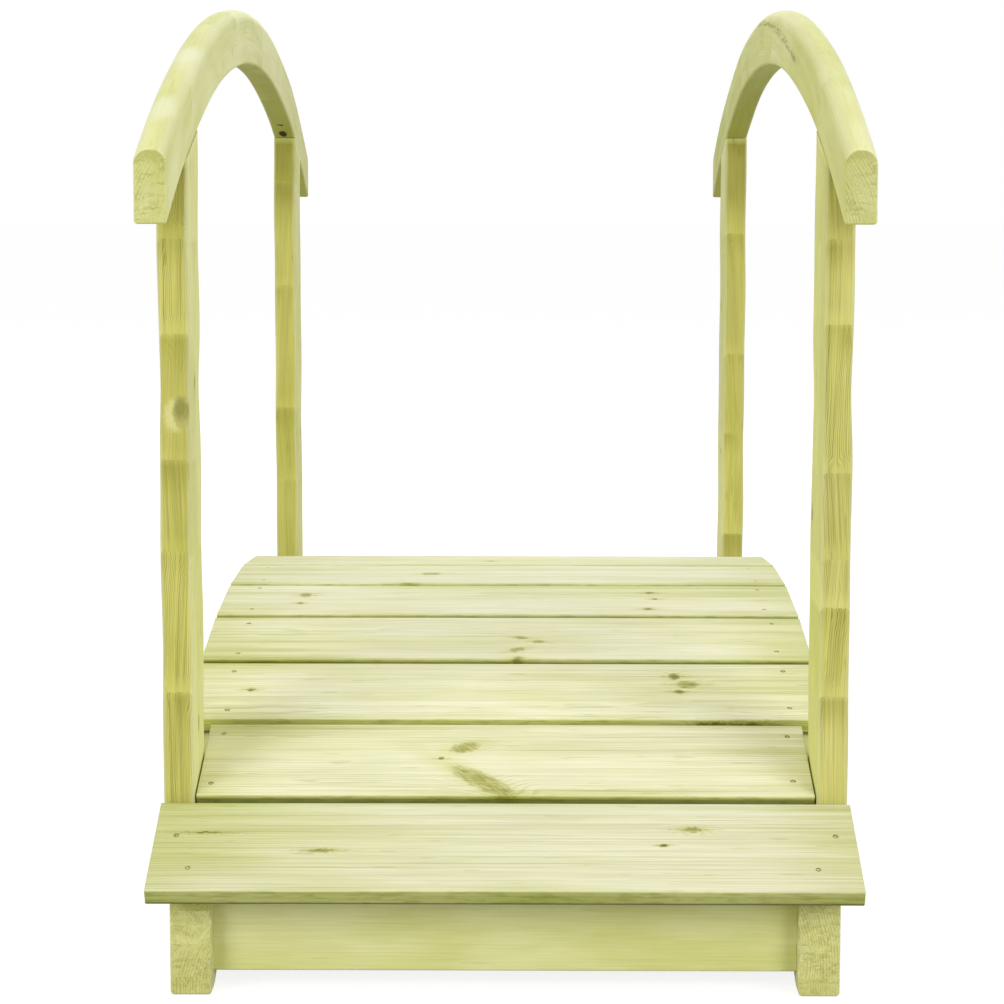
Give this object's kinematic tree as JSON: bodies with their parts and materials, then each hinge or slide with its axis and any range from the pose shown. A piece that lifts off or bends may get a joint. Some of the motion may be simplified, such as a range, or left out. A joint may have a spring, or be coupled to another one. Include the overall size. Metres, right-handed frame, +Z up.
{
  "type": "arched wooden garden bridge",
  "caption": "Arched footbridge of impregnated pine: flat deck boards on two curved stringers, posts lapped to the stringers and curved handrails on both sides.",
  "frame": {"origin": "on the ground under the middle of the bridge", "axes": "+X across the bridge to the right, +Y along the bridge away from the front end, +Z up"},
  "size_m": [0.74, 1.7004, 1.0618],
  "materials": {
    "deck_timber": "planed pine, pressure impregnated, pale yellow-green",
    "beam_timber": "planed pine, pressure impregnated, pale yellow-green, sawn ends",
    "rail_timber": "planed finger-jointed pine, pressure impregnated, pale yellow-green",
    "fixings": "countersunk wood screw heads, dulled zinc, shown by the visual model only"
  },
  "bodies": {
    "root": {"deck_board_1": "deck_timber", "deck_board_2": "deck_timber", "deck_board_3": "deck_timber", "deck_board_4": "deck_timber", "deck_board_5": "deck_timber", "deck_board_6": "deck_timber", "deck_board_7": "deck_timber", "deck_board_8": "deck_timber", "deck_board_9": "deck_timber", "deck_board_10": "deck_timber", "deck_board_11": "deck_timber", "left_stringer": "beam_timber", "right_stringer": "beam_timber", "front_crossbar": "beam_timber", "rear_crossbar": "beam_timber", "front_left_post": "rail_timber", "front_right_post": "rail_timber", "rear_left_post": "rail_timber", "rear_right_post": "rail_timber", "left_handrail": "rail_timber", "right_handrail": "rail_timber"}
  },
  "joints": []
}
